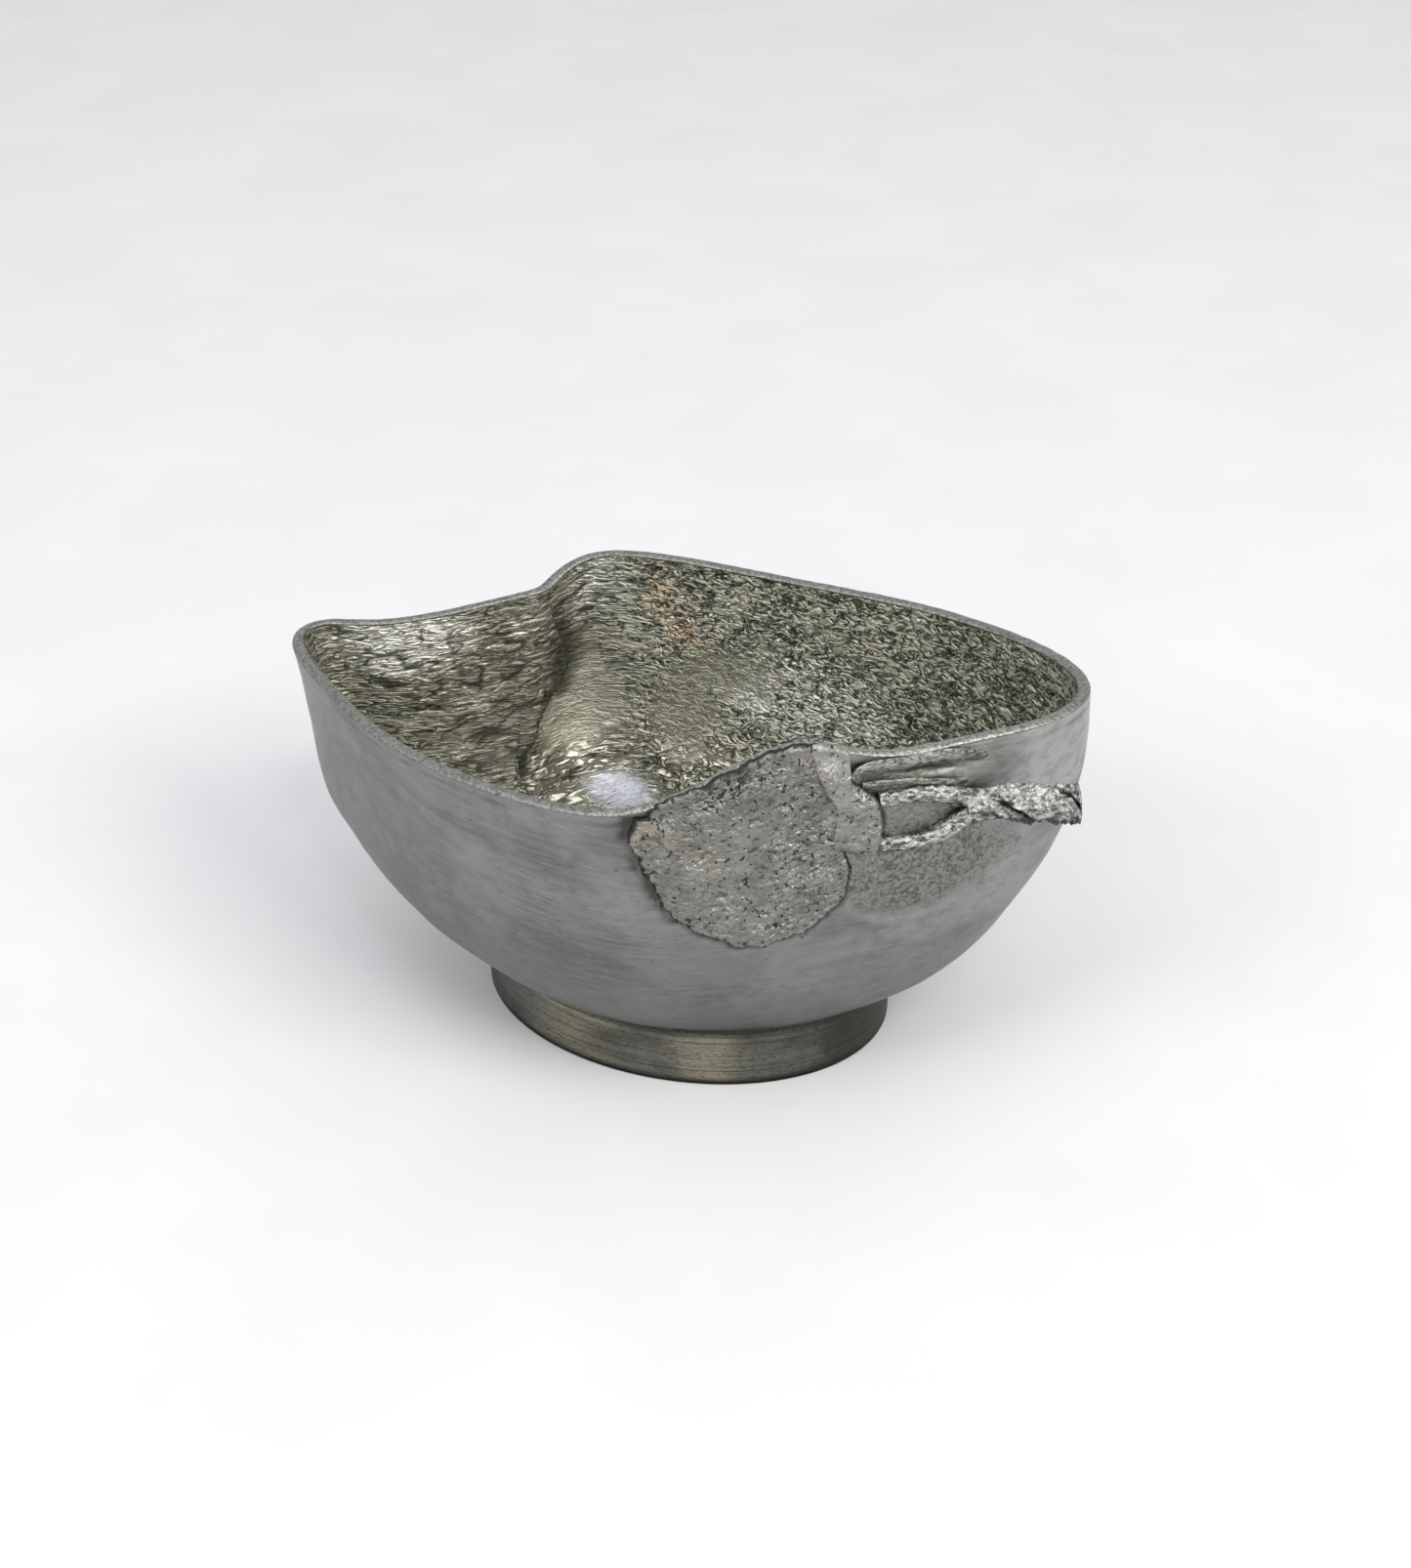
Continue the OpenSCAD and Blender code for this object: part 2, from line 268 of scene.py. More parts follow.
def layers(points, octaves, seed=0, gain=0.5):
    """Sum of finer and finer noise."""
    total, size, scale = 0, 1.0, 1.0
    for octave in range(octaves):
        total = total + size * noise(points * scale, seed + octave * 17)
        size *= gain
        scale *= 2.03
    return total


def warp(points, amount, scale, seed):
    """Points moved about by slow noise, so that patterns laid on them wander."""
    shift = np.stack([noise(points * scale + 31.7 * k, seed + k) for k in range(3)], -1)
    return points + amount * shift


# --- Meshes
def new_piece(name, points, quads, replaced, material, attributes=None, triangles=()):
    """Smooth mesh piece from points in millimetres; it rides on the root and stands for a CAD node."""
    mesh = bpy.data.meshes.new(name)
    faces = np.asarray(quads).tolist() + np.asarray(triangles).tolist()
    mesh.from_pydata((np.reshape(points, (-1, 3)) * MM).tolist(), [], faces)
    mesh.validate()
    mesh.polygons.foreach_set("use_smooth", [True] * len(mesh.polygons))
    for key, values in (attributes or {}).items():
        layer = mesh.attributes.new(key, "FLOAT", "POINT")
        layer.data.foreach_set("value", np.asarray(values, np.float32).reshape(-1))
    mesh.materials.append(material)
    mesh.update()
    piece = bpy.data.objects.new(name, mesh)
    bpy.context.scene.collection.objects.link(piece)
    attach(piece, "root")
    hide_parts(replaced)
    return piece


def grid_quads(rows, columns, wrap_rows=False):
    """Quads between rings of points, each ring closed."""
    r = np.arange(rows if wrap_rows else rows - 1)[:, None] * columns
    c = np.arange(columns)[None, :]
    after = (c + 1) % columns
    over = (r + columns) % (rows * columns)
    return np.stack([r + c, r + after, over + after, over + c], -1).reshape(-1, 4)


def stack(rings, first_tip, last_tip):
    """Points, quads and end triangles of a closed stack of rings."""
    rows, columns = rings.shape[:2]
    points = np.concatenate([rings.reshape(-1, 3), [first_tip, last_tip]])
    c = np.arange(columns)
    after = (c + 1) % columns
    first, last = rows * columns, (rows - 1) * columns
    ends = np.concatenate([np.stack([np.full(columns, first), after, c], -1),
                           np.stack([np.full(columns, first + 1), last + c, last + after], -1)])
    return points, grid_quads(rows, columns), ends


# --- Materials
class Nodes:
    """Short way to build a node tree."""

    def __init__(self, name):
        self.material = bpy.data.materials.new(name)
        self.material.use_nodes = True
        self.tree = self.material.node_tree
        self.shader = self.tree.nodes["Principled BSDF"]

    def add(self, kind, settings=None, **inputs):
        node = self.tree.nodes.new(kind)
        for key, value in (settings or {}).items():
            setattr(node, key, value)
        for key, value in inputs.items():
            self.put(node, key.replace("_", " "), value)
        return node

    def put(self, node, socket, value):
        socket = node.inputs[socket]
        if isinstance(value, bpy.types.NodeSocket):
            self.tree.links.new(value, socket)
        else:
            socket.default_value = value

    def position(self, scale, shift=0.0):
        """Object coordinates in millimetres, stretched by a scale for each axis and shifted."""
        place = self.add("ShaderNodeTexCoord").outputs["Object"]
        mapping = self.add("ShaderNodeMapping", {"vector_type": "POINT"}, Vector=place)
        mapping.inputs["Scale"].default_value = [s / MM for s in scale]
        mapping.inputs["Location"].default_value = (shift, shift, shift)
        return mapping.outputs["Vector"]

    def cloud(self, scale, detail=4.0, roughness=0.55, distortion=0.0, shift=0.0):
        """Noise of about 0 to 1; scale is cells to a millimetre, for each axis."""
        scale = scale if isinstance(scale, tuple) else (scale,) * 3
        return self.add("ShaderNodeTexNoise", Vector=self.position(scale, shift), Scale=1.0,
                        Detail=detail, Roughness=roughness, Distortion=distortion).outputs["Fac"]

    def lines(self, scale, distortion, detail):
        """Wandering lines: 0 on a line, and about 0.4 between lines."""
        gap = self.math("SUBTRACT", self.cloud(scale, detail, 0.5, distortion), 0.5)
        return self.times(self.math("ABSOLUTE", gap), 2.0)

    def mix(self, share, a, b):
        """Blend of two values."""
        return self.math("ADD", self.times(a, self.math("SUBTRACT", 1.0, share)),
                         self.times(b, share))

    def attribute(self, name):
        return self.add("ShaderNodeAttribute", {"attribute_name": name}).outputs["Fac"]

    def spread(self, value, low, high, to_low=0.0, to_high=1.0, smooth=True):
        kind = "SMOOTHSTEP" if smooth else "LINEAR"
        node = self.add("ShaderNodeMapRange", {"interpolation_type": kind}, Value=value)
        limits = {"From Min": low, "From Max": high, "To Min": to_low, "To Max": to_high}
        for socket, number in limits.items():
            node.inputs[socket].default_value = number
        return node.outputs["Result"]

    def math(self, operation, a, b=None):
        node = self.add("ShaderNodeMath", {"operation": operation})
        self.put(node, 0, a)
        if b is not None:
            self.put(node, 1, b)
        return node.outputs[0]

    def times(self, a, b):
        return self.math("MULTIPLY", a, b)

    def blend(self, share, a, b):
        """Blend of two colours."""
        node = self.add("ShaderNodeMix", {"data_type": "RGBA"})
        for socket, value in (("Factor_Float", share), ("A_Color", a), ("B_Color", b)):
            socket = next(one for one in node.inputs if one.identifier == socket)
            if isinstance(value, bpy.types.NodeSocket):
                self.tree.links.new(value, socket)
            else:
                colour = isinstance(value, tuple) and len(value) == 3
                socket.default_value = (*value, 1) if colour else value
        return next(one for one in node.outputs if one.identifier == "Result_Color")

    def coats(self, base, *coats):
        """Colour under coats of [share, colour], the last one on top."""
        for share, colour in coats:
            base = self.blend(share, base, colour)
        return base

    def height(self):
        """Height above the table in millimetres."""
        return self.add("ShaderNodeSeparateXYZ", Vector=self.position((1, 1, 1))).outputs["Z"]

    def bumps(self, *bumps):
        """Normal bent by bumps of (height, depth in millimetres), one after the other."""
        normal = None
        for height, depth in bumps:
            node = self.add("ShaderNodeBump", Height=height, Strength=1.0, Distance=depth * MM)
            if normal is not None:
                self.put(node, "Normal", normal)
            normal = node.outputs["Normal"]
        return normal

    def finish(self, colour, roughness, normal=None, metallic=1.0):
        self.put(self.shader, "Base Color", colour)
        self.put(self.shader, "Roughness", roughness)
        self.put(self.shader, "Metallic", metallic)
        if normal is not None:
            self.put(self.shader, "Normal", normal)
        return self.material


def satin_pewter():
    """Brushed outside: clouds, scratches along the bowl, dark pits, rougher where left as cast, and
    painted light and shade.
    """
    n = Nodes("satin_pewter")
    as_cast = n.attribute("as_cast")
    height = n.height()
    clouds = n.cloud(0.06, 4.0, 0.6, 0.5)
    mottle = n.cloud((0.35, 0.35, 0.6), 5.0, 0.65, 0.4)
    brushed = n.cloud((0.10, 0.10, 1.7), 5.0, 0.7, 0.5)
    grain = n.cloud(3.2, 3.0, 0.6)
    speck = n.cloud(1.5, 4.0, 0.65, 0.2)
    pits = n.spread(n.cloud(0.95, 2.0, 0.5), 0.23, 0.30)
    streaks = n.cloud((0.22, 0.22, 3.2), 3.0, 0.6, 0.3, 1.7)
    smudge = n.cloud((0.030, 0.030, 0.10), 4.0, 0.55, 0.6, 3.1)
    # painted light: lighter mottled patches where the light falls
    painted_highlight = n.times(n.attribute("painted_light"), n.spread(mottle, 0.3, 0.6, 0.5, 0.95))
    raw = n.blend(n.spread(speck, 0.38, 0.58), (0.060, 0.057, 0.046), (0.29, 0.285, 0.255))
    raw = n.blend(n.times(n.attribute("warm"), 0.7), raw, (0.23, 0.205, 0.15))
    lip = n.attribute("lip")
    edge = n.blend(n.spread(speck, 0.36, 0.60), (0.13, 0.128, 0.112), (0.37, 0.367, 0.340))
    base = n.blend(n.spread(clouds, 0.35, 0.65), (0.148, 0.149, 0.144), (0.232, 0.233, 0.227))
    base = n.coats(
        base,
        (n.spread(brushed, 0.35, 0.65, 0.0, 0.40), (0.32, 0.322, 0.318)),
        (n.spread(streaks, 0.56, 0.72, 0.0, 0.35), (0.42, 0.42, 0.41)),
        (n.spread(mottle, 0.30, 0.50, 0.26, 0.0), (0.11, 0.11, 0.105)),
        (n.spread(smudge, 0.36, 0.52, 0.30, 0.0), (0.10, 0.10, 0.093)),
        (painted_highlight, (0.47, 0.47, 0.455)),
        # painted shade: darker low on the bowl, and darkest just above the foot
        (n.spread(height, 9.0, 46.0, 0.60, 0.0, smooth=False), (0.085, 0.085, 0.08)),
        (n.spread(height, FOOT_H, FOOT_H + 3.2, 0.62, 0.0), (0.035, 0.035, 0.03)),
        (n.times(as_cast, 0.85), raw),
        (n.times(lip, 0.75), edge),
        # painted shade where the relief is low: under the lip, in the hollow between the stems and along
        # the leaf's open edges; the pits and the crack are dark too
        (n.spread(n.attribute("relief"), 0.1, 0.9, 0.85, 0.0), (0.05, 0.05, 0.04)),
        (n.spread(pits, 0.0, 1.0, 0.6, 0.0), (0.07, 0.07, 0.065)),
    )
    rough = n.spread(n.mix(0.5, clouds, brushed), 0.35, 0.65, 0.33, 0.48)
    normal = n.bumps((brushed, 0.10), (mottle, 0.09), (grain, 0.02),
                     (n.times(speck, n.math("MAXIMUM", as_cast, lip)), 0.22), (pits, 0.10))
    return n.finish(base, rough, normal)


def crinkled_pewter():
    """Inside as cast: calm patches and a warm green-grey cast, with painted highlights along the ridges,
    painted shade in the worm-like crevices and painted reflections in patches.
    """
    n = Nodes("crinkled_pewter")
    relief, drawn = n.attribute("relief"), n.attribute("drawn")
    lively = n.math("SUBTRACT", 1.0, n.times(n.attribute("calm"), 0.93))
    clouds = n.cloud(0.05, 3.0, 0.6)
    worms, ripples = n.lines((0.37, 0.37, 0.62), 1.2, 4.0), n.lines((0.17, 0.17, 0.95), 0.9, 3.5)
    gaps = n.mix(drawn, worms, ripples)
    lively = n.times(lively, n.math("SUBTRACT", 1.0, n.times(drawn, 0.32)))
    cut = n.times(n.spread(gaps, 0.02, 0.15, 1.0, 0.0), lively)
    # painted highlight along the ridges beside the crevices
    painted_rib_highlight = n.times(n.spread(gaps, 0.13, 0.27), lively)
    grain = n.cloud((1.4, 1.4, 2.4), 4.0, 0.65)
    base = n.blend(n.spread(clouds, 0.3, 0.7), (0.345, 0.340, 0.272), (0.445, 0.438, 0.360))
    base = n.coats(
        base,
        (n.times(painted_rib_highlight, 0.78), (0.86, 0.85, 0.73)),
        (n.times(drawn, 0.20), (0.11, 0.108, 0.078)),
        # painted highlights, a painted bluish reflection on the floor and painted warm reflections
        (n.attribute("painted_light"), (0.90, 0.885, 0.82)),
        (n.attribute("painted_cool_reflection"), (0.30, 0.303, 0.335)),
        (n.attribute("warm"), (0.76, 0.62, 0.44)),
        (n.spread(grain, 0.3, 0.5, 0.4, 0.0), (0.12, 0.118, 0.085)),
        # painted shade in the crevices, and where the relief is low
        (n.times(cut, 0.97), (0.020, 0.018, 0.011)),
        (n.spread(relief, 0.05, 0.60, 0.80, 0.0), (0.030, 0.028, 0.017)),
    )
    rough = n.spread(n.math("ADD", n.math("SUBTRACT", relief, cut), n.times(painted_rib_highlight, 0.5)),
                     0.0, 1.2, 0.60, 0.38)
    height = n.times(n.spread(gaps, 0.0, 0.26), lively)
    normal = n.bumps((height, 0.46), (grain, 0.14))
    return n.finish(base, rough, normal)


def granular_pewter():
    """Leaf: sand-cast grain with scattered dark pits."""
    n = Nodes("granular_pewter")
    relief = n.attribute("relief")
    clouds = n.cloud(0.16, 3.0, 0.6)
    warm = n.spread(n.cloud(0.13, 2.0, 0.5), 0.58, 0.70)
    speck = n.cloud(0.82, 4.0, 0.60, 0.25)
    grain = n.cloud(2.4, 3.0, 0.6)
    dots = n.spread(n.cloud(1.15, 1.0, 0.5, 0.0, 4.4), 0.29, 0.36)
    blotches = n.cloud(0.32, 3.0, 0.6, 0.4, 2.2)
    base = n.blend(n.spread(clouds, 0.3, 0.7), (0.195, 0.195, 0.180), (0.270, 0.270, 0.253))
    base = n.coats(
        base,
        (n.spread(blotches, 0.32, 0.50, 0.55, 0.0), (0.125, 0.125, 0.112)),
        (n.spread(blotches, 0.52, 0.70, 0.0, 0.35), (0.34, 0.34, 0.325)),
        (n.spread(speck, 0.54, 0.72, 0.0, 0.35), (0.37, 0.37, 0.35)),
        (n.attribute("pale"), (0.44, 0.44, 0.42)),
        (n.attribute("shaded"), (0.10, 0.10, 0.09)),
        (n.times(warm, 0.3), (0.33, 0.27, 0.20)),
        (n.attribute("warm"), (0.46, 0.37, 0.27)),
        (n.spread(speck, 0.33, 0.42, 0.72, 0.0), (0.06, 0.058, 0.048)),
        (n.spread(dots, 0.0, 1.0, 0.88, 0.0), (0.030, 0.029, 0.023)),
        # painted shade where the relief is low: along the pads' edges, on their sides and in the creases,
        # with the black crumbs and pits
        (n.spread(relief, 0.02, 0.5, 0.94, 0.0), (0.022, 0.022, 0.018)),
    )
    rough = n.spread(speck, 0.3, 0.7, 0.55, 0.38)
    normal = n.bumps((speck, 0.26), (dots, 0.20), (grain, 0.12))
    return n.finish(base, rough, normal)


def bark_pewter():
    """Stems and twig: rough bark tones, with painted shade on the undersides and in the hollows, so that
    the tops stay lighter.
    """
    n = Nodes("bark_pewter")
    relief = n.attribute("relief")
    speck = n.cloud((0.7, 0.9, 1.3), 5.0, 0.65, 0.5)
    grain = n.cloud(3.4, 2.0, 0.6)
    base = n.blend(n.spread(relief, 0.35, 0.85), (0.17, 0.17, 0.157), (0.43, 0.43, 0.41))
    base = n.coats(
        base,
        (n.spread(speck, 0.38, 0.52, 0.85, 0.0), (0.06, 0.058, 0.048)),
        # painted shade in the deepest hollows and on the undersides
        (n.spread(relief, 0.05, 0.42, 0.95, 0.0), (0.02, 0.02, 0.016)),
    )
    rough = n.spread(speck, 0.3, 0.7, 0.5, 0.30)
    normal = n.bumps((speck, 0.42), (grain, 0.05))
    return n.finish(base, rough, normal)


def foot_pewter():
    """Turned foot: fine lines round it, tarnished, with painted shade towards its ends and towards the
    table, and painted highlights in front.
    """
    n = Nodes("foot_pewter")
    height = n.height()
    lines = n.cloud((0.05, 0.05, 1.9), 5.0, 0.75)
    clouds = n.cloud((0.07, 0.07, 0.09), 4.0, 0.6, 0.3)
    grain = n.cloud((1.2, 1.2, 3.2), 3.0, 0.6)
    base = n.blend(n.spread(clouds, 0.3, 0.7), (0.085, 0.084, 0.074), (0.185, 0.184, 0.164))
    base = n.coats(
        base,
        # painted highlights in front, then painted shade towards the ends and along the table
        (n.spread(n.attribute("painted_highlight"), 0.0, 1.0, 0.0, 0.8), (0.36, 0.33, 0.245)),
        (n.spread(lines, 0.35, 0.6, 0.42, 0.0), (0.045, 0.045, 0.038)),
        (n.spread(grain, 0.34, 0.50, 0.55, 0.0), (0.030, 0.029, 0.023)),
        (n.spread(n.attribute("ends"), 0.0, 1.0, 0.0, 0.75), (0.022, 0.021, 0.017)),
        (n.spread(height, 0.3, 2.2, 0.96, 0.0), (0.010, 0.010, 0.008)),
        (n.spread(height, FOOT_H - 2.4, FOOT_H - 0.8, 0.0, 0.8), (0.02, 0.02, 0.016)),
        (n.spread(n.attribute("relief"), 0.1, 0.8, 0.6, 0.0), (0.03, 0.03, 0.025)),
    )
    rough = n.spread(lines, 0.3, 0.7, 0.52, 0.36)
    normal = n.bumps((lines, 0.12), (grain, 0.05))
    return n.finish(base, rough, normal)


def solder_metal():
    """Solder round the foot: dull, slightly lumpy."""
    n = Nodes("solder")
    speck = n.cloud(1.2, 3.0, 0.6)
    base = n.blend(n.spread(speck, 0.35, 0.65), (0.030, 0.030, 0.026), (0.075, 0.075, 0.068))
    normal = n.bumps((speck, 0.12))
    return n.finish(base, n.spread(speck, 0.3, 0.7, 0.55, 0.42), normal)


def pale_floor():
    n = Nodes("pale_floor")
    base = n.blend(n.spread(n.cloud(0.02, 3.0), 0.3, 0.7), (0.525, 0.527, 0.534), (0.545, 0.547, 0.553))
    return n.finish(base, 0.9, metallic=0.0)


SATIN, CRINKLED, GRANULAR = satin_pewter(), crinkled_pewter(), granular_pewter()
BARK, TURNED, SOLDER = bark_pewter(), foot_pewter(), solder_metal()

# --- Bowl: one closed skin, as cast inside and brushed outside
TURNS = 960
OUTER_ROWS = 150
INNER_ROWS = 250
LIP_ROWS = 9
CRINKLE = 0.32          # depth of the inside's crevices

turns = even_turns(TURNS)


def pad_edge(outline, around, wander_share, seed):
    """Centre and irregular edge of a pad, as [turn, rise]."""
    outline = np.array(outline, float)
    centre = outline.mean(0)
    edge = closed_curve(outline, np.arange(around) / around * 360)
    wander = 1 + wander_share * layers(wall_at(edge[:, 0], edge[:, 1]) * 0.32, 4, seed, 0.6)
    return centre, centre + (edge - centre) * wander[:, None]


LEAF_WANDER, LEAF_SEED = 0.035, 401
FOLD_WANDER, FOLD_SEED = 0.06, 411
LAPPED_FOLD = [(turn - FOLD_LAP * (turn < 318.5 and rise < 0.99), rise) for turn, rise in FOLD]


def beyond_pad(turn, rise, outline, wander, seed, half_width):
    """About how far a place on the wall lies outside a pad's edge, in millimetres, and its direction."""
    centre, edge = pad_edge(outline, 720, wander, seed)
    stretch = np.array([1 / 17, 1 / 0.2])
    arm, place = (edge - centre) * stretch, (np.stack([turn, rise], -1) - centre) * stretch
    arm_way, way = np.arctan2(arm[:, 1], arm[:, 0]), np.arctan2(place[..., 1], place[..., 0])
    order = np.argsort(arm_way)
    reach = np.interp(way, arm_way[order], np.linalg.norm(arm, axis=1)[order], period=2 * math.pi)
    return (np.linalg.norm(place, axis=-1) / reach - 1) * half_width, way


def edge_fade(rise):
    """Less relief at the rim and at the foot."""
    return smoothstep(0.0, 0.02, rise) * smoothstep(1.0, 0.985, rise)


def zone(turn, rise, at_turn, at_rise, turns_out, rises_out, ragged=0.0):
    """Soft oval patch of the wall, 1 in its middle."""
    away = np.hypot((turn - at_turn) / turns_out, (rise - at_rise) / rises_out)
    return smoothstep(1.15, 0.45, away + ragged)


def patches(turn, rise, ragged, *rows):
    """Strongest of some zones, each [strength, turn, rise, turns out, rises out, raggedness]."""
    return np.maximum.reduce([strength * zone(turn, rise, *place, rough_edge * ragged)
                              for strength, *place, rough_edge in rows])


def outer_ring_grid():
    rises = even_rises(OUTER_ROWS)
    turn, rise = np.meshgrid(turns, rises)
    points, out = wall_at(turn, rise), wall_normal(turn, rise)
    dents = 0.16 * noise(points * 0.085, 5) + 0.07 * noise(points * 0.24, 6)
    pits = layers(points * 0.9, 3, 9)
    # left as cast between the stems and below them
    wander = 0.25 * noise(points * 0.15, 11) + 0.2 * noise(points * 0.5, 12)
    below = smoothstep(1.15, 0.55, np.hypot((turn - 329) / 16, (rise - 0.80) / 0.11) + wander)
    between = smoothstep(1.1, 0.85, np.hypot((turn - 328) / 10.5, (rise - 0.925) / 0.05) + 0.3 * wander)
    rough = np.maximum(below * 0.75, between * 0.5)
    hollow = np.exp(-((turn - 327) / 8) ** 2 - ((rise - 0.976) / 0.013) ** 2)
    beyond, way = beyond_pad(turn, rise, LEAF, LEAF_WANDER, LEAF_SEED, 15)
    fold_beyond, fold_way = beyond_pad(turn, rise, LAPPED_FOLD, FOLD_WANDER, FOLD_SEED, 7)
    # the crevice is open along the leaf's left and lower sides, and it carries a painted shadow
    open_side = smoothstep(-0.20, -0.80, way) + smoothstep(1.9, 2.6, way)
    half_width = 0.85 + 0.45 * smoothstep(2.0, 2.8, np.abs(way))
    crevice = np.exp(-((beyond - 0.4) / half_width) ** 2) * np.clip(open_side, 0, 1)
    crevice *= 0.6 + 0.4 * smoothstep(-0.3, 0.3, noise(points * 0.4, 13))
    fold_open = smoothstep(-2.6, -2.0, fold_way) * smoothstep(0.9, 0.2, fold_way)
    crevice = np.maximum(crevice, np.exp(-((fold_beyond - 0.25) / 0.45) ** 2) * fold_open)
    # crack in the hollow between the upper stems
    crack_rise = 0.979 - 0.0009 * (turn - 324) + 0.002 * noise(points * 0.5, 17)
    crack = np.exp(-((rise - crack_rise) / 0.0028) ** 2)
    crack = crack * smoothstep(321, 325, turn) * smoothstep(336, 332, turn)
    lift = dents + rough * 0.16 * pits - 0.8 * hollow - 0.45 * np.maximum(crevice, crack)
    # painted shade: a dark line under the lip
    painted_shade_under_lip = np.exp(-((rise - 0.988) / 0.006) ** 2) * (0.38 + 0.25 * noise(points * 0.25, 18))
    # painted shade: lower relief under the lip, in the hollow and along the leaf's open edges; the pits
    # in the rough parts and the crack are dark too
    relief = (1 - painted_shade_under_lip) * (1 - rough * smoothstep(0.2, -0.7, pits) * 0.85 - 0.30 * hollow)
    relief *= 1 - 0.95 * np.maximum(crevice, crack)
    from_tail = (turn + 180) % 360 - 180
    ragged = 0.25 * noise(points * 0.10, 19) + 0.2 * noise(points * 0.35, 20)
    # painted light: lighter patches on the front towards the tail, and one high on the front left
    painted_highlight = np.maximum(
        patches(from_tail, rise, ragged, (0.75, -8, 0.96, 24, 0.10, 1), (0.5, -22, 0.70, 20, 0.16, 1),
                (0.30, -30, 0.45, 34, 0.20, 1)),
        patches(turn, rise, ragged, (0.12, 262, 0.80, 26, 0.10, 1)))
    marks = {"as_cast": np.maximum(rough, hollow), "painted_light": painted_highlight * (1 - rough),
             "warm": np.maximum(hollow, 0.3 * between)}
    return points + out * (lift * edge_fade(rise))[..., None], relief, marks


def inside_zones(points, turn, rise):
    """Shares of the inside that are calm or drawn out sideways, and of its painted warm reflections,
    painted bluish floor reflection and painted highlights.
    """
    ragged = 0.22 * noise(points * 0.11, 185) + 0.16 * noise(points * 0.4, 187)
    calm = patches(turn, rise, ragged,
                   (0.9, 113, 0.66, 17, 0.24, 1.5),      # beside the pinch
                   (0.78, 84, 0.62, 9, 0.22, 2),         # middle of the far side
                   (0.7, 76, 0.76, 8, 0.09, 2),
                   (0.35, 156, 0.62, 20, 0.22, 1.5),     # low on the spout's side
                   (1, 107, 0.23, 15, 0.15, 0.6),        # where the floor turns up
                   (0.9, 300, 0.55, 40, 0.30, 1))        # behind the leaf
    on_floor = smoothstep(0.16, 0.02, rise + 0.1 * ragged)
    drawn = np.clip(smoothstep(88, 108, turn + 40 * ragged) * smoothstep(262, 236, turn) + 0.15, 0, 1)
    return {"calm": np.maximum(calm, 0.88 * on_floor),
            "drawn": drawn * smoothstep(0.03, 0.20, rise),
            # painted warm reflections high on the far side
            "warm": patches(turn, rise, ragged,
                            (0.75, 88, 0.93, 5, 0.05, 2), (0.75, 85, 0.86, 4, 0.045, 2)),
            # painted light: a lighter patch on the far side, and highlights high on the spout and near
            # the far rim
            "painted_light": patches(turn, rise, ragged, (0.60, 63, 0.71, 14, 0.14, 1),
                              (0.95, 174, 0.97, 14, 0.09, 1), (0.35, 106, 0.95, 14, 0.07, 1)),
            # painted bluish reflection where the floor turns up
            "painted_cool_reflection": patches(turn, rise, ragged, (1, 107, 0.22, 15, 0.16, 0.6))}


FOLD_LINE = [            # the fold at the pinch: [rise, turn]
    (0.40, 148), (0.47, 146), (0.535, 144.5), (0.58, 142.5), (0.64, 138), (0.72, 128.5),
    (0.765, 120.5), (0.80, 117.5), (0.835, 118), (0.905, 126), (0.97, 135), (1.0, 138),
]
MM_PER_TURN = 0.32       # across the fold


def pinch_fold(turn, rise):
    """Lift of the fold where the spout's side runs past the bowl's, and the painted shade along it and on
    both its sides.
    """
    gap = (turn - np.interp(rise, *zip(*FOLD_LINE))) * MM_PER_TURN
    height = smoothstep(0.30, 0.50, rise) * smoothstep(0.99, 0.86, rise)
    spout_side = np.exp(-(np.maximum(gap, 0) / 6.0) ** 2)
    bowl_side = np.exp(-(np.minimum(gap, 0) / 5.0) ** 2)
    step = smoothstep(-0.7, 0.25, gap)
    lift = height * ((1 - step) * bowl_side * 0.9 - step * spout_side * 1.5)
    # painted shade: a dark line along the fold, with shade on the spout's side and on the bowl's side
    narrow = np.exp(-((gap + 0.3) / (2.0 + 1.5 * smoothstep(0.68, 0.86, rise))) ** 2)
    spout_shade = smoothstep(8.5, 1.0, gap) * smoothstep(-1.5, 0.0, gap) * smoothstep(0.60, 0.76, rise)
    bowl_shade = smoothstep(-6.0, -0.3, gap) * smoothstep(0.6, -0.6, gap) * smoothstep(0.50, 0.62, rise)
    crease_shade = height * np.maximum.reduce([narrow, 0.90 * spout_shade, 0.96 * bowl_shade])
    return lift, crease_shade


def crinkle_relief(points, climb, zones):
    """Relief of the cast inside: 0 in a crevice, 1 on a top. Climb is the distance up the wall."""
    drawn = warp(np.concatenate([points[..., :2] * 0.14, climb[..., None] * 0.38], -1), 0.5, 1.2, 101)
    long_cuts = np.abs(noise(drawn, 111))
    worm = warp(points * (0.30, 0.30, 0.38), 0.6, 1.1, 131)
    worm_cuts = np.abs(noise(worm, 141))
    cuts = long_cuts * zones["drawn"] + worm_cuts * (1 - zones["drawn"])
    fine = noise(warp(points * (0.8, 0.8, 1.2), 0.4, 1.5, 161), 171)
    relief = 0.85 * smoothstep(0.0, 0.22, cuts + 0.03) + 0.22 * fine
    return np.clip(relief * (1 - 0.8 * zones["calm"]) + 0.8 * zones["calm"] * 0.75, 0, 1)


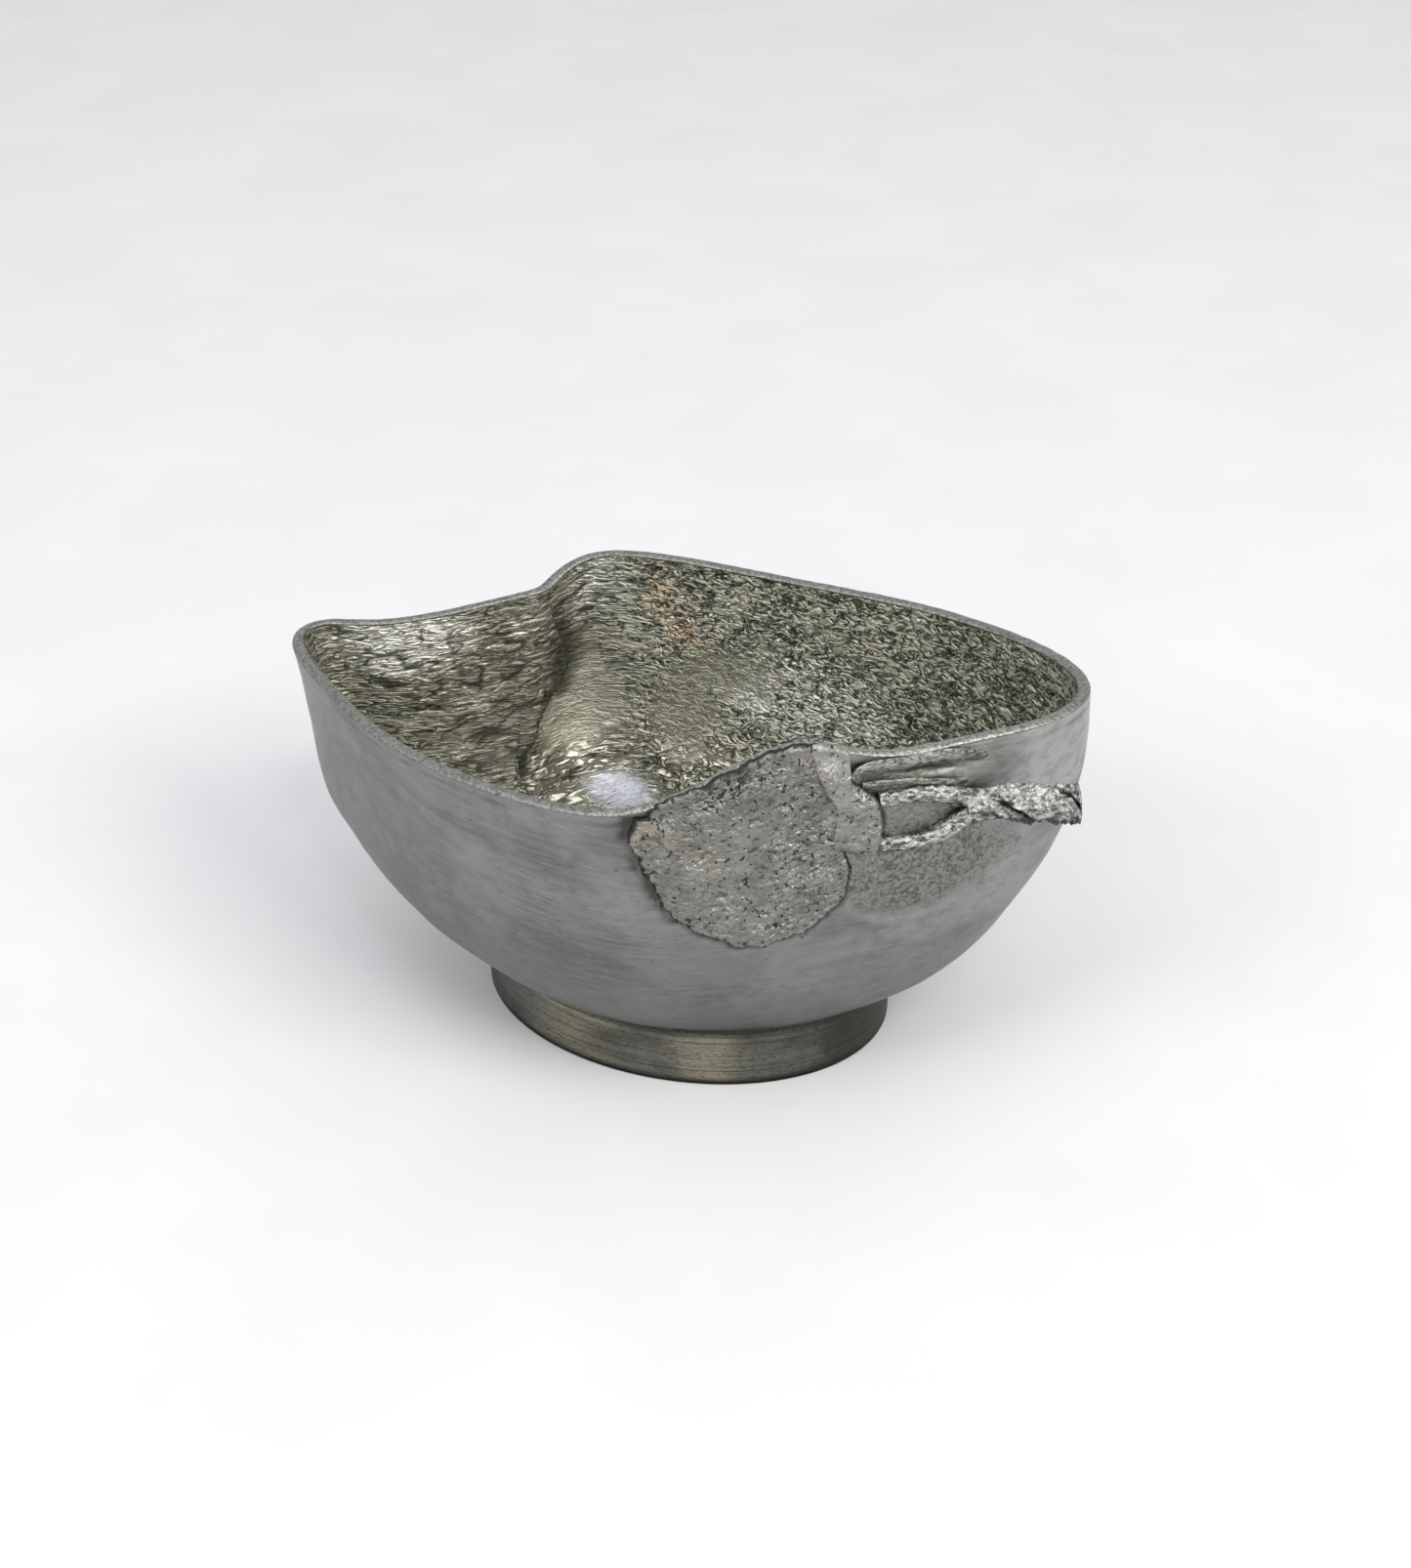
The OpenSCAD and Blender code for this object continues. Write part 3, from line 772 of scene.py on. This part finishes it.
def inner_ring_grid():
    rises = even_rises(INNER_ROWS)[::-1]
    turn, rise = np.meshgrid(turns, rises)
    out = wall_normal(turn, rise)
    points = wall_at(turn, rise) - out * WALL_T
    steps = np.linalg.norm(np.diff(points, axis=0), axis=-1)
    climb = np.concatenate([np.zeros((1, TURNS)), np.cumsum(steps, 0)])
    zones = inside_zones(points, turn, rise)
    relief = crinkle_relief(points, climb, zones)
    swell = 0.30 * noise(points * 0.07, 191) + 0.14 * noise(points * 0.22, 195)
    fold, crease_shade = pinch_fold(turn, rise)
    depth = (CRINKLE * (1 - relief) + swell) * smoothstep(1.0, 0.985, rise) + fold
    # painted shade along the fold, in patches beside the pinch and low on the spout's side, and one low
    # on the far side
    shade = 0.93 * crease_shade
    for strength, *place, ragged, seed in ((0.80, 118, 0.775, 8, 0.11, 0.4, 196),
                                           (0.62, 150, 0.62, 24, 0.32, 0.5, 197),
                                           (0.50, 93, 0.36, 7, 0.08, 0.4, 198)):
        shaded = strength * zone(turn, rise, *place, ragged * noise(points * 0.2, seed))
        shade = np.maximum(shade, shaded)
    return points + out * depth[..., None], relief * (1 - shade), zones


outside, outside_relief, outside_marks = outer_ring_grid()
inside, inside_relief, inside_marks = inner_ring_grid()

# rounded lip from the outer edge over to the inner edge
angle = np.linspace(0, math.pi, LIP_ROWS + 2)[1:-1, None]
outer_edge, inner_edge = outside[-1], inside[0]
middle, half = (outer_edge + inner_edge) / 2, (outer_edge - inner_edge) / 2
crown = np.linalg.norm(half, axis=-1)[None, :] * LIP_CROWN
lip = middle + half * np.cos(angle)[..., None] + UP * (np.sin(angle) * crown)[..., None]
lip = lip + 0.05 * noise(lip * 0.4, 201)[..., None]

above_leaf = smoothstep(276, 286, turns) * smoothstep(360, 345, turns)
lip_relief = np.broadcast_to(0.60 + 0.30 * above_leaf, lip.shape[:2])

# floor inside, underside below
floor_shares = np.linspace(1, 0.02, 90)[1:, None]
flat_edge = wall_at(turns, 0.0) - wall_normal(turns, 0.0) * WALL_T
# the wall's foot bunches up at the pinch, so the floor eases over to a plain oval
plain_edge = wall_at(turns, 0.0)
flat_reach, plain_reach = [np.linalg.norm(edge[:, :2], axis=1).mean() for edge in (flat_edge, plain_edge)]
plain_edge[:, :2] *= flat_reach / plain_reach
plain_edge[:, 2] = np.median(flat_edge[:, 2])
eased = smoothstep(1.0, 0.84, floor_shares)[..., None]
floor_edge = flat_edge * (1 - eased) + plain_edge * eased
ground = np.concatenate([floor_edge[..., :2] * floor_shares[..., None],
                         floor_edge[..., 2:] - FLOOR_DISH * (1 - floor_shares ** 2)[..., None]], -1)
ground_marks = inside_zones(ground, *np.broadcast_arrays(turns[None, :], 0 * floor_shares))
ground_relief = crinkle_relief(ground, np.linalg.norm(ground[..., :2], axis=-1) * 0.5 + 60, ground_marks)
ground = ground - UP * (CRINKLE * (1 - ground_relief))[..., None]
ground = ground + np.array([0, 0, 0.25]) * noise(ground * 0.07, 191)[..., None]

seat = 1 - (FOOT_WALL + OVERHANG + SEAT_GAP) / BOWL_FOOT[1]
under_shares = np.linspace(0.02, 1, 60)[:, None] * seat
corner = outside[0]
under_height = FOOT_H - UNDER_DISH * (1 - (under_shares / seat) ** 2)
under = np.concatenate([corner[None, :, :2] * under_shares[..., None],
                        under_height[..., None] * np.ones((1, TURNS, 1))], -1)
under_pits = layers(under * 0.5, 3, 211)
under_fade = smoothstep(1.0, 0.9, under_shares / seat)
under = under + np.array([0, 0, 0.10]) * (under_pits * under_fade)[..., None]

rings = np.concatenate([under, outside, lip, inside, ground])
relief = np.concatenate([smoothstep(-0.8, 0.2, under_pits), outside_relief, lip_relief,
                         inside_relief, ground_relief])
bowl_marks = {"relief": np.append(relief.reshape(-1), [1, 1])}
for key in ("as_cast", "calm", "drawn", "warm", "painted_light", "painted_cool_reflection", "lip"):
    marks = np.concatenate([np.full_like(under_pits, key == "as_cast"),
                            outside_marks.get(key, 0 * outside_relief),
                            np.full((LIP_ROWS, TURNS), float(key == "lip")),
                            inside_marks.get(key, 0 * inside_relief),
                            ground_marks.get(key, 0 * ground_relief)])
    bowl_marks[key] = np.append(marks.reshape(-1), [0, 0])
bowl_points, bowl_quads, bowl_ends = stack(rings, under[0].mean(0), ground[-1].mean(0))
bowl = new_piece("bowl_cast", bowl_points, bowl_quads, "bowl", SATIN,
                 bowl_marks, bowl_ends)
bowl.data.materials.append(CRINKLED)
inner_from_row = len(under) + OUTER_ROWS + LIP_ROWS
row_of_face = np.concatenate([np.repeat(np.arange(len(rings) - 1), TURNS),
                              np.zeros(TURNS), np.full(TURNS, len(rings))])
bowl.data.polygons.foreach_set("material_index", (row_of_face >= inner_from_row).astype(np.int32))


# --- Leaf and its folded edge: pads on the wall
OVER_LIP = 0.016        # the pads' upper edges lap this rise over the lip
SUNK = 0.35             # how far the pads' backs lie inside the wall


def wall_pad(name, outline, thickness, edge_wander, seed, surface, around, across):
    """Cast pad with a ragged outline; surface(points, gap) gives relief, lift (mm) and warmth."""
    centre, edge = pad_edge(outline, around, edge_wander, seed)
    edge[:, 1] += OVER_LIP * smoothstep(0.985, 1.0, edge[:, 1])
    shares = np.sqrt(np.linspace(0, 1, across + 1))[1:, None, None]
    places = centre + (edge - centre) * shares
    on_wall, out = skin_at(places[..., 0], places[..., 1])
    gap = np.linalg.norm(on_wall[-1] - on_wall, axis=-1)
    relief, lift, warm = surface(on_wall, gap)
    rounding = np.sqrt(np.clip(1 - (1 - np.clip(gap / (thickness * 0.9), 0, 1)) ** 2, 0, 1))
    thin = 1 - 0.65 * smoothstep(0.965, 1.0, places[..., 1])
    height = (thickness * (0.25 + 0.75 * rounding) + lift * smoothstep(0, 0.6, gap)) * thin
    front = on_wall + out * height[..., None]
    back = on_wall[::8] - out[::8] * SUNK
    rings = np.concatenate([back, front[-1:] - out[-1:] * (height[-1:, :, None] + SUNK), front[::-1]])
    # the pads' sides carry painted shade
    all_relief = np.concatenate([np.ones(back.shape[:2]), np.ones((1, around)) * 0.15, relief[::-1]])
    all_warm = np.concatenate([np.zeros(back.shape[:2]), np.zeros((1, around)), warm[::-1]])
    points, quads, ends = stack(rings, wall_at(*centre) - wall_normal(*centre) * SUNK, front[0].mean(0))
    folded = "folded" in name
    marks = {"relief": np.append(all_relief.reshape(-1), [1, relief[0].mean()]),
             "pale": np.full(len(points), 0.20 * folded),
             "shaded": 0.32 * smoothstep(60, 69, points[:, 2]) * (not folded),
             "warm": np.append(all_warm.reshape(-1), [0, 0])}
    new_piece(name, points, quads, name.rsplit("_cast", 1)[0], GRANULAR, marks, ends)


def leaf_surface(points, gap):
    grains = layers(warp(points * 0.95, 0.3, 1.2, 301), 3, 311, 0.6)
    humps = noise(points * 0.22, 321)
    pits = smoothstep(0.42, 0.75, noise(warp(points * 0.5, 0.4, 1.0, 331), 341))
    # black crumbs of the casting along the upper left edge
    crumbs = smoothstep(-0.12, 0.16, layers(warp(points * 0.95, 0.7, 1.6, 345), 3, 348, 0.8))
    crumbs *= smoothstep(5.6, 3.2, gap + 0.8 * noise(points * 0.5, 350)) * smoothstep(0.6, 1.4, gap)
    crumbs *= np.exp(-((points[..., 0] - 20.5) / 8) ** 2) * smoothstep(58, 61, points[..., 2])
    # long creases low on the right
    tilt = math.radians(35)
    along = points[..., 0] * math.cos(tilt) + points[..., 2] * math.sin(tilt)
    across = points[..., 2] * math.cos(tilt) - points[..., 0] * math.sin(tilt)
    tilted = np.stack([along * 0.09, across * 0.40, 0 * along], -1)
    creases = smoothstep(0.07, 0.0, np.abs(noise(tilted, 349)))
    creases *= smoothstep(22, 30, points[..., 0]) * smoothstep(66, 58, points[..., 2])
    lift = 0.20 * grains + 0.32 * humps - 0.45 * pits - 0.45 * crumbs - 0.3 * creases
    relief = smoothstep(-1.35, -0.35, grains) * (1 - 0.7 * pits)
    relief = relief * (1 - 0.92 * crumbs) * (1 - 0.7 * creases)
    # painted shade along the leaf's edge
    relief = relief * (0.02 + 0.98 * smoothstep(0.30, 1.55 + 0.8 * noise(points * 0.5, 353), gap))
    warm = np.exp(-((points[..., 0] - 11) / 3.4) ** 2 - ((points[..., 2] - 62.5) / 1.7) ** 2)
    warm *= smoothstep(-0.3, 0.3, noise(points * 0.6, 351))
    return relief, lift, 0.6 * warm


def fold_surface(points, gap):
    grains = layers(warp(points * 0.7, 0.3, 1.2, 351), 3, 361, 0.5)
    humps = noise(points * 0.25, 371)
    lift = 0.22 * grains + 0.40 * humps
    # painted shade along the fold's edge
    return smoothstep(-1.5, -0.6, grains) * (0.3 + 0.7 * smoothstep(0.0, 0.35, gap)), lift, 0 * gap


wall_pad("leaf_cast", LEAF, LEAF_T, LEAF_WANDER, LEAF_SEED, leaf_surface, 720, 120)
wall_pad("leaf_folded_edge_cast", LAPPED_FOLD, FOLD_T * 0.8, FOLD_WANDER, FOLD_SEED, fold_surface,
         480, 80)


# --- Stems and twig: swept along the wall
def wall_tube(name, path, width, height, start_share, end_share, rows, sides, bark, round_ends=False,
              taper=1.0):
    """Tube along wall places; bark(s, a) gives its relief, and its swelling as a share of its radius."""
    path = np.array(path, float)
    s = np.linspace(0, 1, rows)
    place = curve_through(path, s)

    def centre(share):
        p = curve_through(path, np.clip(share, 0, 1))
        return off_wall(p[..., 0], p[..., 1], p[..., 2])

    out = wall_normal(place[:, 0], place[:, 1])
    along = unit(centre(s + 0.03) - centre(s - 0.03))
    side = unit(np.cross(along, out))
    up = np.cross(side, along)
    middle = centre(s)
    a = np.arange(sides) / sides * 2 * math.pi
    girth = (start_share + (end_share - start_share) * smoothstep(0, taper, s))[:, None]
    length = np.linalg.norm(np.diff(middle, axis=0), axis=1).sum()
    to_end = np.clip((1 - s) * length / 1.1, 0, 1)
    round_end = np.sqrt(np.clip(1 - (1 - to_end) ** 2, 0.35, 1)) if round_ends else np.ones_like(s)
    relief, swell = bark(s[:, None], a[None, :])
    size = girth * (1 + swell) * round_end[:, None]
    lift = np.maximum(height / 2 * size * np.sin(a), np.minimum(-place[:, 2:] - 0.3, 0))
    rings = (middle[:, None] + side[:, None] * (width / 2 * size * np.cos(a))[..., None]
             + up[:, None] * lift[..., None])
    points, quads, ends = stack(rings, rings[0].mean(0), rings[-1].mean(0))
    new_piece(name, points, quads, name.rsplit("_cast", 1)[0], BARK,
              {"relief": np.append(relief.reshape(-1), [0.5, 0.6])}, ends)


def bark_noise(s, a, length_scale, seed, round_scale=1.6):
    ring = np.stack(np.broadcast_arrays(s * length_scale, np.cos(a) * round_scale,
                                        np.sin(a) * round_scale), -1)
    return layers(warp(ring, 0.4, 0.8, seed), 4, seed + 10, 0.55)


UNDERSIDE_PAINTED_SHADE = 0.62    # painted shade on the stems' undersides, and more still on the twig's
TWIG_UNDERSIDE_PAINTED_SHADE = 0.78


def smooth_bark(seed, length_scale, amount=0.07, brightest=1.0, underside=UNDERSIDE_PAINTED_SHADE, contrast=0.85):
    def bark(s, a):
        rough = bark_noise(s, a, length_scale, seed)
        # painted shade on the underside
        under = smoothstep(0.1, 0.9, np.cos(a)) * underside
        relief = (smoothstep(-1.0, 0.5, rough) * contrast + 1 - contrast) * (1 - under) * brightest
        return relief, amount * rough
    return bark


def twisted_bark(seed, length_scale, twist, lobes, amount, start=0.0):
    """Strands wound round each other, with a crevice between them."""
    def bark(s, a):
        rough = bark_noise(s, a, length_scale, seed, 2.2)
        phase = lobes * (a + twist * s + start) + 0.5 * bark_noise(s, a, length_scale * 0.3, seed + 50)
        groove = np.abs(np.cos(phase / 2))
        cut = smoothstep(0.0, 0.42, groove)
        relief = (0.05 + 0.95 * cut) * (0.55 + 0.45 * smoothstep(-0.9, 0.3, rough))
        # painted shade on the underside
        under = smoothstep(-0.3, 0.7, np.cos(a)) * TWIG_UNDERSIDE_PAINTED_SHADE
        return relief * (1 - under), amount * rough - 0.34 * (1 - cut)
    return bark


# the two ridges under the rim fade into the wall, and the two stems run into the twig
wall_tube("stem_upper_strand_cast", UPPER[:-3] + [(334.5, 0.987, 0.1), (338.5, 0.976, -0.8)],
          STRAND_W * 0.95, STRAND_H * 0.42, 0.9, 1.0, 240, 48, smooth_bark(501, 12, 0.08, 0.60, 0.2, 0.5))
wall_tube("stem_inner_strand_cast", INNER[:-1] + [(336.0, 0.943, -0.7)],
          STRAND_W * 0.6, STRAND_H * 0.32, 0.8, 0.8, 200, 40, smooth_bark(511, 14, 0.12, 0.62, 0.2, 0.5))
wall_tube("stem_middle_strand_cast", MIDDLE + [(337.2, 0.925, 2.6), (340, 0.930, 5.2)],
          STRAND_W * 1.1, STRAND_H, 0.85, 1.2, 260, 64, smooth_bark(521, 16, 0.18))
wall_tube("stem_lower_strand_cast", LOWER + [(337.2, 0.908, 2.6), (340, 0.919, 5.0)],
          STRAND_W, STRAND_H, 0.95, 1.35, 260, 64, smooth_bark(531, 16, 0.18))
wall_tube("twig_handle_cast", TWIG, TWIG_D, TWIG_D, 0.42, 1, 320, 128,
          twisted_bark(541, 15, 5.5, 2, 0.20, -2.47), True, 0.5)

# --- Foot and its solder
EASE = 0.45             # softening of the foot's lower corners


def foot_section():
    """Closed section as [inset from the outer face, height], with softened lower corners."""
    corner = np.linspace(0, math.pi / 2, 7)
    outer_low = [(EASE * (1 - math.sin(c)), EASE * (1 - math.cos(c))) for c in corner[::-1]]
    inner_low = [(FOOT_WALL - EASE * (1 - math.sin(c)), EASE * (1 - math.cos(c))) for c in corner]
    outer_face = [(0, z) for z in np.linspace(FOOT_H, EASE, 46)[:-1]]
    inner_face = [(FOOT_WALL, z) for z in np.linspace(EASE, FOOT_H, 24)[1:]]
    resting = [(x, 0) for x in np.linspace(EASE, FOOT_WALL - EASE, 7)[1:-1]]
    top = [(x, FOOT_H) for x in np.linspace(FOOT_WALL, 0, 6)[1:-1]]
    return np.array(outer_face + outer_low + resting + inner_low + inner_face + top)


section = foot_section()
a = np.arange(720)[:, None] / 720 * 2 * math.pi
inset, height = section[:, 0][None], section[:, 1][None]
turned = 0.05 * noise(np.stack([height * 2.1, height * 0, height * 0], -1), 601)
worn = 0.06 * noise(np.stack(np.broadcast_arrays(np.cos(a) * 3, np.sin(a) * 3, height * 0.25), -1), 611)
on_face = smoothstep(0.3, 1.2, height) * smoothstep(0.2, 0.0, inset)
inset = inset - (turned + worn) * on_face
foot_rings = np.stack([(FOOT_HALF[0] - inset) * np.cos(a), (FOOT_HALF[1] - inset) * np.sin(a),
                       height + 0 * a], -1)
foot_relief = smoothstep(-0.045, 0.02, turned) * on_face + (1 - on_face) + 0 * a


def along_foot(bearing_degrees, half_width, seed):
    """1 at a bearing round the foot, fading to both sides."""
    away = (np.degrees(a) - bearing_degrees) / half_width
    return np.exp(-(away + 0.6 * noise(foot_rings * (0.1, 0.1, 0.3), seed)) ** 2)


# painted highlights on the front of the foot
painted_highlight = (along_foot(291, 9, 615) + 0.75 * along_foot(252, 14, 616)) * on_face
ragged_foot = 0.35 * noise(foot_rings * (0.12, 0.12, 0.2), 617) + 0.15 * noise(foot_rings * 0.5, 618)
# painted shade towards both ends of the foot
ends = smoothstep(26, 36, np.abs(foot_rings[..., 0]) + 6 * ragged_foot) * on_face
new_piece("foot_ring_turned", foot_rings, grid_quads(720, len(section), True), "foot_ring",
          TURNED, {"relief": foot_relief, "painted_highlight": painted_highlight, "ends": ends})

SEAM = FOOT_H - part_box("foot_solder_seam")[0][2] / MM
t = even_turns(720)
foot_corner = wall_at(t, 0.0)
outward = unit(np.column_stack([foot_corner[:, :2] / BOWL_FOOT ** 2, 0 * t]))
beads = 1 + 0.14 * noise(foot_corner * 0.35, 621) + 0.08 * noise(foot_corner * 1.1, 622)
top = foot_corner - outward * (OVERHANG + 0.2)
low = foot_corner - outward * OVERHANG - UP * (SEAM * beads)[:, None]
low_in = low - outward * 0.3
tip = wall_at(t, 0.035)
tip_in = tip - wall_normal(t, 0.035) * 0.3
bow = (low + tip) / 2 + (foot_corner - outward * OVERHANG - (low + tip) / 2) * 0.35
face = [bezier(low, bow, bow, tip, k) for k in np.linspace(0, 1, 12)]
seam_rings = np.stack([low_in, *face, tip_in, top], 1)
seam_quads = grid_quads(len(t), seam_rings.shape[1], True)[:, ::-1]
new_piece("foot_solder_seam_run", seam_rings, seam_quads, "foot_solder_seam", SOLDER)

# --- Floor, lights, camera
AZIMUTH, ELEVATION = 20, 33       # of the camera, in degrees
DISTANCE = 0.42
AIM_ASIDE, AIM_HEIGHT = 0.0034, 0.0440
LIGHT_AIM = Vector((0, 0, 0.04))
SENSOR, FOCAL = 36, 54.605        # in millimetres


def away_at(azimuth, elevation):
    """Direction away from the object; an azimuth of 0 is straight in front."""
    a, e = math.radians(azimuth), math.radians(elevation)
    return Vector((math.sin(a) * math.cos(e), -math.cos(a) * math.cos(e), math.sin(e)))


def place(thing, name, aim, away, distance):
    """Object for a lamp or camera, at a distance from its aim and turned to it."""
    placed = bpy.data.objects.new(name, thing)
    placed.location = aim + away * distance
    placed.rotation_euler = away.to_track_quat("Z", "Y").to_euler()
    bpy.context.scene.collection.objects.link(placed)
    return placed


def stage_floor():
    size, steps = 9.0, 24
    grid = np.linspace(-size, size, steps + 1)
    x, y = np.meshgrid(grid, grid)
    row = steps + 1
    corners = [r * row + c for r in range(steps) for c in range(steps)]
    mesh = bpy.data.meshes.new("floor")
    mesh.from_pydata(np.stack([x.ravel(), y.ravel(), np.zeros(x.size)], -1).tolist(), [],
                     [(at, at + 1, at + row + 1, at + row) for at in corners])
    mesh.materials.append(pale_floor())
    floor = bpy.data.objects.new("floor", mesh)
    bpy.context.scene.collection.objects.link(floor)


def softbox(name, azimuth, elevation, distance, size, power, colour=(1, 1, 1)):
    """Square area light round the object."""
    data = bpy.data.lights.new(name, "AREA")
    data.shape = "RECTANGLE"
    data.size, data.size_y = size
    data.energy = power
    data.color = colour
    place(data, name, LIGHT_AIM, away_at(azimuth, elevation), distance)


stage_floor()
softbox("overhead", -30, 75, 1.1, (0.5, 0.5), 1.4, (0.80, 0.86, 1.0))
softbox("front_left", -35, 38, 1.2, (0.5, 0.4), 5)
softbox("high_right", 35, 52, 1.2, (0.16, 0.16), 1.3)
softbox("front_right", 70, 42, 1.2, (0.6, 0.5), 11, (1.0, 0.98, 0.94))

world = bpy.data.worlds.new("studio")
world.use_nodes = True
sky = world.node_tree.nodes["Background"]
sky.inputs["Color"].default_value = (0.83, 0.84, 0.85, 1)
sky.inputs["Strength"].default_value = 1.2
bpy.context.scene.world = world

camera_data = bpy.data.cameras.new("camera")
camera_data.sensor_fit = "AUTO"
camera_data.sensor_width = SENSOR
camera_data.lens = FOCAL
camera_data.clip_start = 0.01
turned_by = math.radians(AZIMUTH)
aim = Vector((AIM_ASIDE * math.cos(turned_by), AIM_ASIDE * math.sin(turned_by), AIM_HEIGHT))
bpy.context.scene.camera = place(camera_data, "camera", aim, away_at(AZIMUTH, ELEVATION), DISTANCE)
bpy.context.scene.view_settings.view_transform = "Standard"
